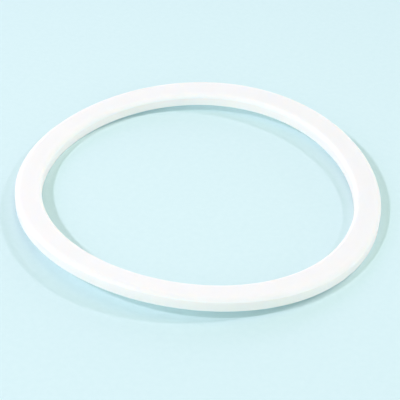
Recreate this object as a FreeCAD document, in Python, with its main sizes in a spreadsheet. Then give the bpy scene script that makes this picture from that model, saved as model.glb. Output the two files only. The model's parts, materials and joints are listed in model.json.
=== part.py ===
import FreeCAD, Part
import math
import os
from enum import IntEnum

import Sketcher
from FreeCAD import Vector

# Sealing washer of white fluoropolymer sheet
#
# One plain ring, cut round and through from sheet by a die that enters from above. The die draws
# its upper rim down into a soft rounding at the outline and breaks it slightly at the bore, and
# leaves both lower rims crisp. The sheet has kept a slight curl from its roll, so the ring rocks on
# a valley line along X and its sides at +Y and -Y stand clear of the surface that it lies on.
# The origin is where the bore's axis meets that surface. Z points up. All sizes are in millimetres.

NODE = "washer"
PARTS_FOLDER = "parts"

# Driving sizes: name, value, meaning
DRIVING_SIZES = (
    ("bore_diameter", 60.0, "round hole through the ring"),
    ("ring_width", 5.0, "from the bore to the round outline"),
    ("sheet_thickness", 2.5, "between the two sealing faces"),
    ("outline_rim_radius", 1.0, "rounding of the upper rim at the outline"),
    ("bore_rim_bevel", 0.5, "bevel of the upper rim at the bore"),
    ("bow_rise", 2.6, "lift of the underside at the outline's two high sides"),
)

# Shared formulas, in the sheet's names
OUTLINE_RADIUS = "(sizes.bore_diameter / 2 + sizes.ring_width)"
CURL_RADIUS = f"({OUTLINE_RADIUS}^2 + sizes.bow_rise^2) / (2 * sizes.bow_rise)"
BLANK_WIDTH = f"2 * ({OUTLINE_RADIUS} + sizes.sheet_thickness)"


class Axis(IntEnum):
    """A sketch's own two axes."""

    HORIZONTAL = -1
    VERTICAL = -2


class Place(IntEnum):
    """Named points of a line, an arc or a circle in a sketch."""

    START = 1
    END = 2
    CENTRE = 3


# A sketch's origin is the point where its horizontal axis starts
ORIGIN = (Axis.HORIZONTAL, Place.START)


def make_sizes(document):
    """Write the driving sizes into a spreadsheet, one row each, and return it."""
    sheet = document.addObject("Spreadsheet::Sheet", "sizes")
    for row, (alias, value, meaning) in enumerate(DRIVING_SIZES, start=1):
        sheet.set(f"A{row}", meaning)
        sheet.set(f"B{row}", str(value))
        sheet.setAlias(f"B{row}", alias)
    document.recompute()
    return sheet


def sketch_on(body, role, name):
    """Add a sketch to the body, flat on the origin plane with the given role."""
    plane = next(feature for feature in body.Origin.OriginFeatures if feature.Role == role)
    sketch = body.newObject("Sketcher::SketchObject", name)
    sketch.AttachmentSupport = [(plane, "")]
    sketch.MapMode = "FlatFace"
    return sketch


def drive(sketch, kind, geometry, name, expression, start_value):
    """Add a dimension to the sketch, name it and tie it to an expression on the sheet."""
    index = sketch.addConstraint(Sketcher.Constraint(kind, *geometry, start_value))
    sketch.renameConstraint(index, name)
    sketch.setExpression(f"Constraints.{name}", expression)


def outline_radius(sizes):
    """Radius of the round outline."""
    return sizes.bore_diameter / 2 + sizes.ring_width


def curl_radii(sizes):
    """Radii of the curled sheet's underside and topside."""
    underside = (outline_radius(sizes) ** 2 + sizes.bow_rise**2) / (2 * sizes.bow_rise)
    return underside, underside - sizes.sheet_thickness


def draw_curled_section(body, sizes):
    """Section of the curled sheet across the valley: two concentric arcs closed by two upright ends."""
    sketch = sketch_on(body, "YZ_Plane", "curled_section")
    underside_radius, topside_radius = curl_radii(sizes)
    half_blank = outline_radius(sizes) + sizes.sheet_thickness
    centre = Vector(0, underside_radius, 0)
    normal = Vector(0, 0, 1)

    def arc(radius):
        """Lower arc about the shared centre, as wide as the blank."""
        spread = math.asin(half_blank / radius)
        circle = Part.Circle(centre, normal, radius)
        return Part.ArcOfCircle(circle, -math.pi / 2 - spread, -math.pi / 2 + spread)

    underside = sketch.addGeometry(arc(underside_radius))
    topside = sketch.addGeometry(arc(topside_radius))
    ends = (Place.START, Place.END)
    corners = [sketch.getPoint(face, end) for face in (underside, topside) for end in ends]
    left_end = sketch.addGeometry(Part.LineSegment(corners[0], corners[2]))
    right_end = sketch.addGeometry(Part.LineSegment(corners[1], corners[3]))

    sketch.addConstraint(
        [
            Sketcher.Constraint("Coincident", underside, Place.START, left_end, Place.START),
            Sketcher.Constraint("Coincident", topside, Place.START, left_end, Place.END),
            Sketcher.Constraint("Coincident", underside, Place.END, right_end, Place.START),
            Sketcher.Constraint("Coincident", topside, Place.END, right_end, Place.END),
            Sketcher.Constraint("Coincident", underside, Place.CENTRE, topside, Place.CENTRE),
            Sketcher.Constraint("PointOnObject", underside, Place.CENTRE, Axis.VERTICAL),
            Sketcher.Constraint("PointOnObject", *ORIGIN, underside),
            Sketcher.Constraint("Vertical", left_end),
            Sketcher.Constraint("Vertical", right_end),
            Sketcher.Constraint("Horizontal", underside, Place.START, underside, Place.END),
        ]
    )
    drive(sketch, "Radius", (underside,), "underside_radius", CURL_RADIUS, underside_radius)
    topside_expression = f"{CURL_RADIUS} - sizes.sheet_thickness"
    drive(sketch, "Radius", (topside,), "topside_radius", topside_expression, topside_radius)
    across = (underside, Place.START, underside, Place.END)
    drive(sketch, "DistanceX", across, "blank_width", BLANK_WIDTH, 2 * half_blank)
    return sketch


def draw_die(body, sizes):
    """Outline of the cutting die: the bore, the washer's outline and, outside it, the offcut's reach."""
    sketch = sketch_on(body, "XY_Plane", "die")
    circles = (
        ("bore", "sizes.bore_diameter / 2", sizes.bore_diameter / 2),
        ("outline", OUTLINE_RADIUS, outline_radius(sizes)),
        ("offcut", f"2 * {OUTLINE_RADIUS}", 2 * outline_radius(sizes)),
    )
    for name, expression, radius in circles:
        circle = sketch.addGeometry(Part.Circle(Vector(), Vector(0, 0, 1), radius))
        sketch.addConstraint(Sketcher.Constraint("Coincident", circle, Place.CENTRE, *ORIGIN))
        drive(sketch, "Radius", (circle,), name, expression, radius)
    return sketch


def upper_rim(feature, sizes, wall_radius):
    """Names of the feature's edges where the topside meets the upright wall of the given radius."""
    _, topside_radius = curl_radii(sizes)
    wanted = sorted((topside_radius, wall_radius))
    names = []
    for number, edge in enumerate(feature.Shape.Edges, start=1):
        faces = feature.Shape.ancestorsOfType(edge, Part.Face)
        radii = sorted(face.Surface.Radius for face in faces if isinstance(face.Surface, Part.Cylinder))
        if len(radii) == 2 and all(math.isclose(*pair, rel_tol=1e-6) for pair in zip(radii, wanted)):
            names.append(f"Edge{number}")
    return names


def make_washer(document, sizes):
    """Curled sheet, cut by the die in one stroke, with its two upper rims drawn down."""
    body = document.addObject("PartDesign::Body", NODE)
    body.Label = NODE

    sheet = body.newObject("PartDesign::Pad", "curled_sheet")
    sheet.Profile = draw_curled_section(body, sizes)
    sheet.Midplane = True
    sheet.setExpression("Length", BLANK_WIDTH)

    stroke = body.newObject("PartDesign::Pocket", "die_stroke")
    stroke.Profile = draw_die(body, sizes)
    stroke.Type = "ThroughAll"
    stroke.Midplane = True
    document.recompute()

    bore_rim = body.newObject("PartDesign::Chamfer", "bore_rim")
    bore_rim.Base = (stroke, upper_rim(stroke, sizes, sizes.bore_diameter / 2))
    bore_rim.setExpression("Size", "sizes.bore_rim_bevel")
    document.recompute()

    outline_rim = body.newObject("PartDesign::Fillet", "outline_rim")
    outline_rim.Base = (bore_rim, upper_rim(bore_rim, sizes, outline_radius(sizes)))
    outline_rim.setExpression("Radius", "sizes.outline_rim_radius")
    document.recompute()
    return body


def check(document, body):
    """Stop with a plain message if any object failed or the washer isn't one sound solid."""
    for item in document.Objects:
        if "Invalid" in item.State or "Error" in item.State:
            raise RuntimeError(f"{item.Name} failed: {item.State}")
    shape = body.Shape
    if shape.isNull() or not shape.isValid() or len(shape.Solids) != 1:
        raise RuntimeError(f"{body.Label} isn't one sound solid")


def main():
    """Build the washer, check it and write its shape."""
    document = FreeCAD.newDocument("sealing_washer")
    sizes = make_sizes(document)
    body = make_washer(document, sizes)
    check(document, body)
    os.makedirs(PARTS_FOLDER, exist_ok=True)
    body.Shape.exportStep(f"{PARTS_FOLDER}/{NODE}.step")
    box = body.Shape.BoundBox
    print(f"{NODE}: {box.XLength:.3f} x {box.YLength:.3f} x {box.ZLength:.3f} mm")
    print(f"{NODE}: {body.Shape.Volume:.2f} mm3")


main()
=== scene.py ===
"""A sealing washer cut from white fluoropolymer sheet, lying loose on a pale paper ground.

The ring keeps the slight curl of the roll that its sheet came from, so it touches the
ground along one line and stands clear of it at two sides. Lengths are in metres, in the
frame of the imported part: Z points up along the bore's axis, and X is the line that the ring
rests on. Only the patterns of the materials are measured in millimetres.
"""

import json
import logging
import math
from dataclasses import dataclass, field
from enum import Enum
from typing import Any

import bpy
from mathutils import Matrix, Vector

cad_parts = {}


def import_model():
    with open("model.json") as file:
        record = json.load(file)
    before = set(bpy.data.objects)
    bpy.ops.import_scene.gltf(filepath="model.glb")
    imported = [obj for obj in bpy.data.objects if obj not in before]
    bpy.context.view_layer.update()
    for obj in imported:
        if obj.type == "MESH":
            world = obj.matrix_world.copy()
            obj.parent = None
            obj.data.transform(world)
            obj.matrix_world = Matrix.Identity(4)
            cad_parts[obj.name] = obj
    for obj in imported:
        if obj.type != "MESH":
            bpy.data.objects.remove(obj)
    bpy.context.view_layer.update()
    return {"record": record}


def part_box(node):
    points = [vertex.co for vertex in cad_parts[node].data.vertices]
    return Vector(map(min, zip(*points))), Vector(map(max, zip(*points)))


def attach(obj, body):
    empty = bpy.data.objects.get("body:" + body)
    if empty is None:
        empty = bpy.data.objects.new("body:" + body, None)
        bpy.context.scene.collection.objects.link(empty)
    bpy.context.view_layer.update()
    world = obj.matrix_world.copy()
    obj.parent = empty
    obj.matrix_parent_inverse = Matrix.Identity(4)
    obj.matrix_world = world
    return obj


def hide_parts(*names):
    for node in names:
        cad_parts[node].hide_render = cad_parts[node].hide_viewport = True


LOG = logging.getLogger("washer")

MILLIMETRE = 0.001
METRE_IN_MILLIMETRES = 1000.0
FULL_TURN = 2.0 * math.pi
QUARTER_TURN = 0.5 * math.pi
OPAQUE = 1.0
MASK_MIDDLE = 0.5
CLOUD_DETAIL = 3.0
CLOUD_ROUGHNESS = 0.5
LINE_DETAIL = 4.0
LINE_ROUGHNESS = 0.6
MATRIX_SIZE = 4

Colour = tuple[float, float, float]
SectionPoint = tuple[float, float]


class Mark(Enum):
    """How a stretch of the ring's surface was made.

    The value is its material's place on the piece.
    """

    SKIVED = 0
    CUT = 1


class Board:
    """One node tree, with short calls to add its nodes and to join their sockets."""

    def __init__(self, tree: bpy.types.NodeTree) -> None:
        """Take a tree to work on.

        Args:
            tree: the material's, world's or group's node tree.
        """
        self.tree = tree

    def add(self, kind: str, **settings: object) -> bpy.types.Node:
        """Add a node.

        Args:
            kind: Blender's name for the node type.
            **settings: properties of the node, by name.

        Returns:
            The new node.
        """
        node = self.tree.nodes.new(kind)
        for name, value in settings.items():
            setattr(node, name, value)
        return node

    def join(self, source: bpy.types.NodeSocket, target: bpy.types.NodeSocket) -> None:
        """Lead an output socket to an input socket."""
        self.tree.links.new(source, target)

    def work_out(
        self, operation: str, *terms: float | bpy.types.NodeSocket
    ) -> bpy.types.NodeSocket:
        """Work out one number from others.

        Args:
            operation: Blender's name for the sum.
            *terms: numbers or sockets, in order.

        Returns:
            The result's socket.
        """
        node = self.add("ShaderNodeMath", operation=operation)
        for place, term in enumerate(terms):
            if isinstance(term, bpy.types.NodeSocket):
                self.join(term, node.inputs[place])
            else:
                node.inputs[place].default_value = term
        return node.outputs["Value"]

    def mix(
        self, share: bpy.types.NodeSocket, low: Colour, high: Colour
    ) -> bpy.types.NodeSocket:
        """Blend two colours by a mask.

        Args:
            share: the mask, 0 for the first colour and 1 for the second.
            low: the first colour.
            high: the second colour.

        Returns:
            The blended colour's socket.
        """
        node = self.add("ShaderNodeMix", data_type="RGBA")
        self.join(share, node.inputs["Factor"])
        node.inputs["A"].default_value = (*low, OPAQUE)
        node.inputs["B"].default_value = (*high, OPAQUE)
        return node.outputs["Result"]

    def fade(
        self, value: bpy.types.NodeSocket, start: float, end: float
    ) -> bpy.types.NodeSocket:
        """Rise softly from 0 to 1 between two values.

        Args:
            value: the number that decides.
            start: where the rise starts.
            end: where it ends.

        Returns:
            The risen number's socket.
        """
        node = self.add("ShaderNodeMapRange", interpolation_type="SMOOTHSTEP")
        self.join(value, node.inputs["Value"])
        node.inputs["From Min"].default_value = start
        node.inputs["From Max"].default_value = end
        return node.outputs["Result"]


def group_socket(
    tree: bpy.types.NodeTree,
    name: str,
    kind: str,
    direction: str,
    value: float | None = None,
) -> None:
    """Give a node group one named input or output.

    Args:
        tree: the group's tree.
        name: the socket's name.
        kind: Vector, Float or Color.
        direction: INPUT or OUTPUT.
        value: what the input holds where nothing is joined to it.
    """
    socket = tree.interface.new_socket(
        name=name, in_out=direction, socket_type=f"NodeSocket{kind}"
    )
    if value is not None:
        socket.default_value = value


def make_cloudiness() -> bpy.types.NodeTree:
    """Build the group for soft uneven patches, which the sheet and the paper both have.

    Returns:
        A group that takes Vector in millimetres, Size in millimetres and Amount, and puts
        out Mask, which wanders about one half by up to half of Amount.
    """
    tree = bpy.data.node_groups.new("soft_cloudiness", "ShaderNodeTree")
    group_socket(tree, "Vector", "Vector", "INPUT")
    group_socket(tree, "Size", "Float", "INPUT", value=10.0)
    group_socket(tree, "Amount", "Float", "INPUT", value=1.0)
    group_socket(tree, "Mask", "Float", "OUTPUT")
    board = Board(tree)
    given = board.add("NodeGroupInput")
    wanted = board.add("NodeGroupOutput")
    noise = board.add("ShaderNodeTexNoise", noise_dimensions="3D")
    board.join(given.outputs["Vector"], noise.inputs["Vector"])
    board.join(board.work_out("DIVIDE", 1.0, given.outputs["Size"]), noise.inputs["Scale"])
    noise.inputs["Detail"].default_value = CLOUD_DETAIL
    noise.inputs["Roughness"].default_value = CLOUD_ROUGHNESS
    centred = board.work_out("SUBTRACT", noise.outputs["Fac"], MASK_MIDDLE)
    spread = board.work_out("MULTIPLY", centred, given.outputs["Amount"])
    board.join(board.work_out("ADD", spread, MASK_MIDDLE), wanted.inputs["Mask"])
    return tree


def make_tool_lines() -> bpy.types.NodeTree:
    """Build the group for the fine lines of a blade, on sheet faces and cut walls alike.

    Returns:
        A group that takes Vector in millimetres, its first axis across the lines and its
        second along them, with Spacing and Length in millimetres, and puts out Height from
        0 to 1.
    """
    tree = bpy.data.node_groups.new("blade_lines", "ShaderNodeTree")
    group_socket(tree, "Vector", "Vector", "INPUT")
    group_socket(tree, "Spacing", "Float", "INPUT", value=0.4)
    group_socket(tree, "Length", "Float", "INPUT", value=40.0)
    group_socket(tree, "Height", "Float", "OUTPUT")
    board = Board(tree)
    given = board.add("NodeGroupInput")
    wanted = board.add("NodeGroupOutput")
    parts = board.add("ShaderNodeSeparateXYZ")
    board.join(given.outputs["Vector"], parts.inputs["Vector"])
    stretched = board.add("ShaderNodeCombineXYZ")
    across = board.work_out("DIVIDE", parts.outputs["X"], given.outputs["Spacing"])
    along = board.work_out("DIVIDE", parts.outputs["Y"], given.outputs["Length"])
    board.join(across, stretched.inputs["X"])
    board.join(along, stretched.inputs["Y"])
    noise = board.add("ShaderNodeTexNoise", noise_dimensions="2D")
    board.join(stretched.outputs["Vector"], noise.inputs["Vector"])
    # The stretched vector already counts in lines
    noise.inputs["Scale"].default_value = 1.0
    noise.inputs["Detail"].default_value = LINE_DETAIL
    noise.inputs["Roughness"].default_value = LINE_ROUGHNESS
    board.join(noise.outputs["Fac"], wanted.inputs["Height"])
    return tree


def place_group(board: Board, group: bpy.types.NodeTree, **values: float) -> bpy.types.Node:
    """Put a shared effect into a material.

    Args:
        board: the material's tree.
        group: the effect's group.
        **values: the group's input values, by socket name.

    Returns:
        The group's node.
    """
    node = board.add("ShaderNodeGroup", node_tree=group)
    for name, value in values.items():
        node.inputs[name].default_value = value
    return node


def new_surface(name: str) -> tuple[bpy.types.Material, Board, bpy.types.Node]:
    """Make a material that holds one shader, led to the output.

    Args:
        name: the material's name.

    Returns:
        The material, its node tree and the shader.
    """
    material = bpy.data.materials.new(name)
    material.use_nodes = True
    material.node_tree.nodes.clear()
    board = Board(material.node_tree)
    shader = board.add("ShaderNodeBsdfPrincipled")
    output = board.add("ShaderNodeOutputMaterial")
    board.join(shader.outputs["BSDF"], output.inputs["Surface"])
    return material, board, shader


def raise_surface(
    board: Board, shader: bpy.types.Node, height: bpy.types.NodeSocket, depth: float
) -> None:
    """Give a shader a relief.

    Args:
        board: the material's tree.
        shader: the material's shader.
        height: the relief's height, from 0 to 1.
        depth: how far apart 0 and 1 lie, in metres.
    """
    relief = board.add("ShaderNodeBump")
    relief.inputs["Distance"].default_value = depth
    board.join(height, relief.inputs["Height"])
    board.join(relief.outputs["Normal"], shader.inputs["Normal"])


def in_millimetres(board: Board) -> bpy.types.NodeSocket:
    """Give the surface's own position in millimetres.

    Args:
        board: the material's tree.

    Returns:
        The position's socket.
    """
    place = board.add("ShaderNodeTexCoord")
    scaled = board.add("ShaderNodeVectorMath", operation="SCALE")
    board.join(place.outputs["Object"], scaled.inputs[0])
    scaled.inputs["Scale"].default_value = METRE_IN_MILLIMETRES
    return scaled.outputs["Vector"]


def round_the_ring(board: Board, radius: float) -> bpy.types.NodeSocket:
    """Unroll the ring's walls into way round the ring and height, in millimetres.

    Args:
        board: the material's tree.
        radius: the wall's radius in metres, which turns angles into lengths.

    Returns:
        The unrolled position's socket.
    """
    place = board.add("ShaderNodeSeparateXYZ")
    board.join(in_millimetres(board), place.inputs["Vector"])
    angle = board.work_out("ARCTAN2", place.outputs["Y"], place.outputs["X"])
    way_round = board.work_out("MULTIPLY", angle, radius / MILLIMETRE)
    unrolled = board.add("ShaderNodeCombineXYZ")
    board.join(way_round, unrolled.inputs["X"])
    board.join(place.outputs["Z"], unrolled.inputs["Y"])
    return unrolled.outputs["Vector"]


@dataclass(frozen=True)
class SheetFinish:
    """Milky white fluoropolymer with a waxy satin face and the fine lines of a blade.

    Spacings, lengths and cloud sizes are in millimetres, and depths are in metres.
    """

    name: str
    mark: Mark
    line_spacing: float
    line_length: float
    line_depth: float
    clear_white: Colour = (0.976, 0.993, 0.993)
    cloudy_white: Colour = (0.955, 0.978, 0.98)
    cloud_size: float = 9.0
    cloud_amount: float = 1.4
    smooth_roughness: float = 0.42
    dull_roughness: float = 0.54
    refractive_index: float = 1.35
    glow_share: float = 1.0
    glow_depth: float = 0.6 * MILLIMETRE
    glow_reach: Colour = (1.0, 0.9, 0.8)

    def dress(
        self, cloudiness: bpy.types.NodeTree, lines: bpy.types.NodeTree, radius: float
    ) -> bpy.types.Material:
        """Make the finish's material.

        Args:
            cloudiness: the group for soft uneven patches.
            lines: the group for blade lines.
            radius: the ring's radius, for lines that run down its walls.

        Returns:
            The material.
        """
        material, board, shader = new_surface(self.name)
        shader.inputs["IOR"].default_value = self.refractive_index
        shader.inputs["Subsurface Weight"].default_value = self.glow_share
        shader.inputs["Subsurface Radius"].default_value = self.glow_reach
        shader.inputs["Subsurface Scale"].default_value = self.glow_depth

        clouds = place_group(
            board, cloudiness, Size=self.cloud_size, Amount=self.cloud_amount
        )
        board.join(in_millimetres(board), clouds.inputs["Vector"])
        colour = board.mix(clouds.outputs["Mask"], self.clear_white, self.cloudy_white)
        board.join(colour, shader.inputs["Base Color"])

        cut = place_group(board, lines, Spacing=self.line_spacing, Length=self.line_length)
        if self.mark is Mark.CUT:
            where = round_the_ring(board, radius)
        else:
            where = in_millimetres(board)
        board.join(where, cut.inputs["Vector"])
        gloss = board.add("ShaderNodeMapRange")
        board.join(cut.outputs["Height"], gloss.inputs["Value"])
        gloss.inputs["To Min"].default_value = self.smooth_roughness
        gloss.inputs["To Max"].default_value = self.dull_roughness
        board.join(gloss.outputs["Result"], shader.inputs["Roughness"])
        raise_surface(board, shader, cut.outputs["Height"], self.line_depth)
        return material


@dataclass(frozen=True)
class PaperFinish:
    """Pale blue-green drawing paper: matt, with a fine even grain.

    The grain's size is in millimetres, and its depth is in metres.
    """

    name: str = "pale_paper"
    lighter: Colour = (0.721, 0.909, 0.934)
    darker: Colour = (0.671, 0.869, 0.899)
    grain_size: float = 1.1
    grain_amount: float = 0.9
    grain_depth: float = 0.02 * MILLIMETRE
    roughness: float = 0.9

    def dress(self, cloudiness: bpy.types.NodeTree) -> bpy.types.Material:
        """Make the finish's material.

        Args:
            cloudiness: the group for soft uneven patches.

        Returns:
            The material.
        """
        material, board, shader = new_surface(self.name)
        shader.inputs["Roughness"].default_value = self.roughness
        shader.inputs["Specular IOR Level"].default_value = 0.0
        grain = place_group(
            board, cloudiness, Size=self.grain_size, Amount=self.grain_amount
        )
        board.join(in_millimetres(board), grain.inputs["Vector"])
        colour = board.mix(grain.outputs["Mask"], self.darker, self.lighter)
        board.join(colour, shader.inputs["Base Color"])
        raise_surface(board, shader, grain.outputs["Mask"], self.grain_depth)
        return material


def arc_points(
    centre: SectionPoint, radius: float, start: float, turn: float, steps: int
) -> list[SectionPoint]:
    """Points along an arc in the ring's section.

    Args:
        centre: the arc's centre, as distance from the axis and height in the sheet.
        radius: the arc's radius.
        start: the angle of the first point.
        turn: the angle from the first point to the last.
        steps: how many equal steps the arc takes.

    Returns:
        The points, both ends included.
    """
    angles = [start + turn * step / steps for step in range(steps + 1)]
    return [
        (centre[0] + radius * math.cos(angle), centre[1] + radius * math.sin(angle))
        for angle in angles
    ]


def line_points(start: SectionPoint, end: SectionPoint, steps: int) -> list[SectionPoint]:
    """Points along a straight stretch of the ring's section, without its ends.

    Args:
        start: the point before the first.
        end: the point after the last.
        steps: how many equal steps the stretch takes.

    Returns:
        The points between the two ends.
    """
    shares = [step / steps for step in range(1, steps)]
    return [
        (start[0] + (end[0] - start[0]) * share, start[1] + (end[1] - start[1]) * share)
        for share in shares
    ]


@dataclass
class Washer:
    """The ring of curled sheet, as the die leaves it.

    The upper rim is rounded at the bore. At the outline it slopes down ever steeper to a
    crease, below which the cut wall starts. The lower rims are crisp.
    """

    bore_radius: float
    outline_radius: float
    thickness: float = 2.5 * MILLIMETRE
    shoulder_width: float = 1.15 * MILLIMETRE
    shoulder_slope: float = math.radians(50.0)
    crease_rim: float = 0.2 * MILLIMETRE
    bore_rim: float = 0.8 * MILLIMETRE
    crisp_rim: float = 0.08 * MILLIMETRE
    bow_rise: float = 2.6 * MILLIMETRE
    rim_steps: int = 12
    crisp_steps: int = 3
    face_steps: int = 12
    wall_steps: int = 6
    turns: int = 480
    name: str = "washer_ring"
    finishes: dict[Mark, SheetFinish] = field(
        default_factory=lambda: {
            Mark.SKIVED: SheetFinish(
                name="skived_face",
                mark=Mark.SKIVED,
                line_spacing=0.35,
                line_length=45.0,
                line_depth=0.006 * MILLIMETRE,
            ),
            Mark.CUT: SheetFinish(
                name="cut_wall_painted_warm_light",
                mark=Mark.CUT,
                line_spacing=0.3,
                line_length=3.0,
                line_depth=0.01 * MILLIMETRE,
                # The walls' cream tint is painted warm light. It stands in for warm light
                # from the room's low sides falling on the upright walls; the sheet itself is
                # white.
                clear_white=(0.98, 0.918, 0.898),
                cloudy_white=(0.965, 0.905, 0.885),
            ),
        }
    )

    @property
    def curl_radius(self) -> float:
        """Radius of the curled underside, from the lift at the outline."""
        return (self.outline_radius**2 + self.bow_rise**2) / (2.0 * self.bow_rise)

    def section(self) -> list[tuple[SectionPoint, Mark]]:
        """Draw the ring's section: up the bore, over the top, down the outline and back.

        Returns:
            Closed loop of points, as distance from the axis and height in the sheet, each
            with the mark of the stretch that starts there.
        """
        inner, outer, top = self.bore_radius, self.outline_radius, self.thickness
        crisp, rim_in = self.crisp_rim, self.bore_rim
        slope, rim_out = self.shoulder_slope, self.crease_rim
        foot_in = arc_points(
            (inner + crisp, crisp), crisp, -QUARTER_TURN, -QUARTER_TURN, self.crisp_steps
        )
        over_bore = arc_points(
            (inner + rim_in, top - rim_in), rim_in, math.pi, -QUARTER_TURN, self.rim_steps
        )
        # The shoulder's arc leaves the flat top level and ends at the slope, where the
        # crease's arc takes over and turns down into the wall
        bend = (self.shoulder_width - rim_out * (1.0 - math.sin(slope))) / math.sin(slope)
        shoulder = arc_points(
            (outer - self.shoulder_width, top - bend),
            bend,
            QUARTER_TURN,
            -slope,
            self.rim_steps,
        )
        crease = arc_points(
            (outer - rim_out, shoulder[-1][1] - rim_out * math.cos(slope)),
            rim_out,
            QUARTER_TURN - slope,
            slope - QUARTER_TURN,
            self.crisp_steps,
        )
        foot_out = arc_points(
            (outer - crisp, crisp), crisp, 0.0, -QUARTER_TURN, self.crisp_steps
        )
        stretches = (
            (foot_in, Mark.CUT),
            (line_points(foot_in[-1], over_bore[0], self.wall_steps), Mark.CUT),
            (over_bore, Mark.SKIVED),
            (line_points(over_bore[-1], shoulder[0], self.face_steps), Mark.SKIVED),
            (shoulder, Mark.SKIVED),
            (crease[1:], Mark.CUT),
            (line_points(crease[-1], foot_out[0], self.wall_steps), Mark.CUT),
            (foot_out, Mark.CUT),
            (line_points(foot_out[-1], foot_in[0], self.face_steps), Mark.SKIVED),
        )
        return [(point, mark) for points, mark in stretches for point in points]

    def curled(self, radius: float, height: float, angle: float) -> Vector:
        """Place a point of the section on the curled sheet.

        Args:
            radius: distance from the bore's axis.
            height: height in the sheet, from its underside.
            angle: way round the ring.

        Returns:
            The point in the part's frame.
        """
        across = radius * math.sin(angle)
        layer = self.curl_radius - height
        lift = self.curl_radius - math.sqrt(layer**2 - across**2)
        return Vector((radius * math.cos(angle), across, lift))

    def build(self) -> bpy.types.Object:
        """Turn the section round the axis, curl it and dress it.

        Returns:
            The ring as one mesh.
        """
        section = self.section()
        count = len(section)
        points = [
            self.curled(radius, height, FULL_TURN * turn / self.turns)
            for turn in range(self.turns)
            for (radius, height), _ in section
        ]
        faces = []
        marks = []
        for turn in range(self.turns):
            here, there = turn * count, (turn + 1) % self.turns * count
            for place, (_, mark) in enumerate(section):
                after = (place + 1) % count
                faces.append((here + place, here + after, there + after, there + place))
                marks.append(mark.value)
        mesh = bpy.data.meshes.new(self.name)
        mesh.from_pydata(points, [], faces)
        mesh.polygons.foreach_set("material_index", marks)
        mesh.polygons.foreach_set("use_smooth", [True] * len(faces))
        mesh.update()
        ring = bpy.data.objects.new(self.name, mesh)
        bpy.context.scene.collection.objects.link(ring)
        return ring

    def dress(
        self,
        ring: bpy.types.Object,
        cloudiness: bpy.types.NodeTree,
        lines: bpy.types.NodeTree,
    ) -> None:
        """Give the ring its materials, in the order of the marks.

        Args:
            ring: the ring's mesh object.
            cloudiness: the group for soft uneven patches.
            lines: the group for blade lines.
        """
        for mark in Mark:
            material = self.finishes[mark].dress(cloudiness, lines, self.outline_radius)
            ring.data.materials.append(material)


@dataclass
class Ground:
    """The sheet of paper that the washer lies on."""

    half_side: float = 1.5
    finish: PaperFinish = PaperFinish()
    name: str = "paper_ground"

    def build(self, cloudiness: bpy.types.NodeTree) -> bpy.types.Object:
        """Make the flat ground at the level of the washer's underside.

        Args:
            cloudiness: the group for soft uneven patches.

        Returns:
            The ground's object.
        """
        side = self.half_side
        outline = ((-side, -side), (side, -side), (side, side), (-side, side))
        corners = [(across, along, 0.0) for across, along in outline]
        mesh = bpy.data.meshes.new(self.name)
        mesh.from_pydata(corners, [], [(0, 1, 2, 3)])
        mesh.materials.append(self.finish.dress(cloudiness))
        ground = bpy.data.objects.new(self.name, mesh)
        bpy.context.scene.collection.objects.link(ground)
        return ground


@dataclass(frozen=True)
class Softbox:
    """One flat lamp that faces the washer.

    Its share is of the light that a flat white sheet gets.
    """

    name: str
    azimuth: float
    elevation: float
    distance: float
    width: float
    height: float
    share: Colour

    def place(self) -> bpy.types.Object:
        """Set up the lamp.

        Returns:
            The lamp's object.
        """
        direction = Vector(
            (
                math.cos(self.azimuth) * math.cos(self.elevation),
                math.sin(self.azimuth) * math.cos(self.elevation),
                math.sin(self.elevation),
            )
        )
        level = max(self.share)
        lamp = bpy.data.lights.new(self.name, "AREA")
        lamp.shape = "RECTANGLE"
        lamp.size = self.width
        lamp.size_y = self.height
        lamp.color = tuple(part / level for part in self.share)
        # The power that lights a flat white sheet to the level, from this far and this low
        lamp.energy = level * (math.pi * self.distance) ** 2 / direction.z
        lamp_object = bpy.data.objects.new(self.name, lamp)
        lamp_object.location = direction * self.distance
        lamp_object.rotation_euler = direction.to_track_quat("Z", "Y").to_euler()
        bpy.context.scene.collection.objects.link(lamp_object)
        return lamp_object


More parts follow.
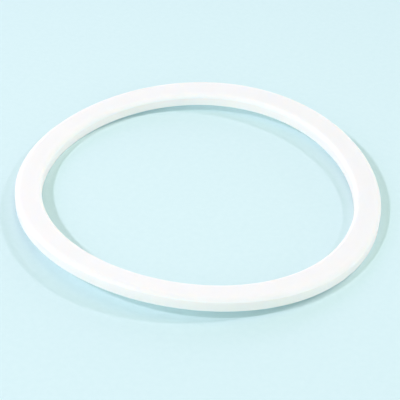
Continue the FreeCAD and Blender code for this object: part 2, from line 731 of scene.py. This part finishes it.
@dataclass(frozen=True)
class Surroundings:
    """Pale room: bright round the sides, dimmer overhead, brightest low at the back right.

    It shows as pale blue-green where the camera sees past the paper. Its levels are those
    of a white sheet that faces nothing else.
    """

    sides: Colour = (1.079, 1.066, 1.028)
    overhead: Colour = (0.212, 0.392, 0.313)
    sides_end: float = math.radians(30.0)
    overhead_start: float = math.radians(48.0)
    low_glow: Colour = (0.792, 0.633, 0.647)
    glow_azimuth: float = math.radians(67.4)
    glow_half_width: float = math.radians(75.0)
    glow_top: float = math.radians(16.0)
    glow_side_fade: float = math.radians(15.0)
    glow_top_fade: float = math.radians(4.0)
    seen_colour: Colour = (0.72, 0.91, 0.95)
    name: str = "pale_room"

    def glow_mask(
        self, board: Board, direction: bpy.types.NodeSocket, climb: bpy.types.NodeSocket
    ) -> bpy.types.NodeSocket:
        """Mark where the low glow is.

        Args:
            board: the world's tree.
            direction: the direction looked in.
            climb: that direction's height.

        Returns:
            The mask's socket, 1 in the glow and 0 outside it.
        """
        towards = board.add("ShaderNodeVectorMath", operation="DOT_PRODUCT")
        board.join(direction, towards.inputs[0])
        towards.inputs[1].default_value = (
            math.cos(self.glow_azimuth),
            math.sin(self.glow_azimuth),
            0.0,
        )
        beside = board.fade(
            towards.outputs["Value"],
            math.cos(self.glow_half_width + self.glow_side_fade),
            math.cos(self.glow_half_width - self.glow_side_fade),
        )
        above = board.fade(
            climb,
            math.sin(self.glow_top - self.glow_top_fade),
            math.sin(self.glow_top + self.glow_top_fade),
        )
        return board.work_out("MULTIPLY", beside, board.work_out("SUBTRACT", 1.0, above))

    def build(self) -> bpy.types.World:
        """Make the world.

        Returns:
            The world, set on the scene.
        """
        world = bpy.data.worlds.new(self.name)
        world.use_nodes = True
        world.node_tree.nodes.clear()
        board = Board(world.node_tree)

        direction = board.add("ShaderNodeTexCoord").outputs["Generated"]
        parts = board.add("ShaderNodeSeparateXYZ")
        board.join(direction, parts.inputs["Vector"])
        climb = parts.outputs["Z"]
        up = board.fade(climb, math.sin(self.sides_end), math.sin(self.overhead_start))
        room = board.add("ShaderNodeBackground")
        board.join(board.mix(up, self.sides, self.overhead), room.inputs["Color"])
        glow = board.add("ShaderNodeBackground")
        glow.inputs["Color"].default_value = (*self.low_glow, OPAQUE)
        board.join(self.glow_mask(board, direction, climb), glow.inputs["Strength"])
        light = board.add("ShaderNodeAddShader")
        board.join(room.outputs["Background"], light.inputs[0])
        board.join(glow.outputs["Background"], light.inputs[1])

        seen = board.add("ShaderNodeBackground")
        seen.inputs["Color"].default_value = (*self.seen_colour, OPAQUE)
        path = board.add("ShaderNodeLightPath")
        mirrored = board.work_out(
            "MAXIMUM", path.outputs["Is Camera Ray"], path.outputs["Is Glossy Ray"]
        )
        looked_at = board.work_out("MAXIMUM", mirrored, path.outputs["Is Transmission Ray"])
        choice = board.add("ShaderNodeMixShader")
        board.join(looked_at, choice.inputs["Fac"])
        board.join(light.outputs["Shader"], choice.inputs[1])
        board.join(seen.outputs["Background"], choice.inputs[2])
        output = board.add("ShaderNodeOutputWorld")
        board.join(choice.outputs["Shader"], output.inputs["Surface"])
        bpy.context.scene.world = world
        return world


@dataclass(frozen=True)
class Viewpoint:
    """Where the picture is taken from: in front of the ring and above it."""

    azimuth: float = math.radians(22.4)
    elevation: float = math.radians(37.08)
    distance: float = 245.0 * MILLIMETRE
    aim: tuple[float, float, float] = (0.72 * MILLIMETRE, -0.77 * MILLIMETRE, 0.0)
    tilt: float = math.radians(3.53)
    focal_length: float = 114.13
    sensor_width: float = 36.0

    def build(self) -> bpy.types.Object:
        """Set up the scene's camera.

        Returns:
            The camera's object.
        """
        lens = bpy.data.cameras.new("camera")
        lens.sensor_width = self.sensor_width
        lens.lens = self.focal_length
        camera = bpy.data.objects.new("camera", lens)
        back = Vector(
            (
                math.sin(self.azimuth) * math.cos(self.elevation),
                -math.cos(self.azimuth) * math.cos(self.elevation),
                math.sin(self.elevation),
            )
        )
        position = back * self.distance
        level = (Vector(self.aim) - position).to_track_quat("-Z", "Y").to_matrix().to_4x4()
        roll = Matrix.Rotation(self.tilt, MATRIX_SIZE, "Z")
        camera.matrix_world = Matrix.Translation(position) @ level @ roll
        bpy.context.scene.collection.objects.link(camera)
        bpy.context.scene.camera = camera
        return camera


SOFTBOXES = (
    Softbox(
        name="right_key",
        azimuth=math.radians(36.4),
        elevation=math.radians(45.0),
        distance=1.0,
        width=0.067,
        height=0.067,
        share=(0.122, 0.095, 0.114),
    ),
    Softbox(
        name="left_key",
        azimuth=math.radians(227.4),
        elevation=math.radians(45.0),
        distance=1.0,
        width=0.067,
        height=0.067,
        share=(0.231, 0.203, 0.235),
    ),
    Softbox(
        name="left_fill",
        azimuth=math.radians(172.4),
        elevation=math.radians(36.0),
        distance=1.2,
        width=2.0,
        height=0.35,
        share=(0.083, 0.035, 0.092),
    ),
    Softbox(
        name="top_fill",
        azimuth=math.radians(202.4),
        elevation=math.radians(86.0),
        distance=0.14,
        width=0.05,
        height=0.05,
        share=(0.059, 0.044, 0.023),
    ),
)


def mount_radius(record: dict[str, Any], mount: str) -> float:
    """Look up a round mount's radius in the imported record.

    Args:
        record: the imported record.
        mount: the mount's name.

    Returns:
        The radius in metres.
    """
    found = next(entry for entry in record["mounts"] if entry["name"] == mount)
    return found["dims"]["r_mm"] * MILLIMETRE


def main() -> None:
    """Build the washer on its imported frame, with its ground, its light and its camera."""
    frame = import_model()
    low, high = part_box("washer")

    cloudiness = make_cloudiness()
    lines = make_tool_lines()

    washer = Washer(
        bore_radius=mount_radius(frame["record"], "bore"),
        outline_radius=(high.x - low.x) / 2.0,
    )
    ring = washer.build()
    washer.dress(ring, cloudiness, lines)
    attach(ring, "root")
    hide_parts("washer")
    LOG.info("%s: %d faces", ring.name, len(ring.data.polygons))

    ground = Ground().build(cloudiness)
    LOG.info("%s: %.1f m wide", ground.name, ground.dimensions.x)

    for softbox in SOFTBOXES:
        lamp = softbox.place()
        LOG.info("%s: %.2f W", lamp.name, lamp.data.energy)
    world = Surroundings().build()
    LOG.info("%s: %d nodes", world.name, len(world.node_tree.nodes))
    camera = Viewpoint().build()
    LOG.info("%s: %.1f mm lens", camera.name, camera.data.lens)
    bpy.context.scene.view_settings.view_transform = "Standard"

    bpy.context.view_layer.update()


if __name__ == "__main__":
    logging.basicConfig(level=logging.INFO, format="%(name)s: %(message)s")
    main()
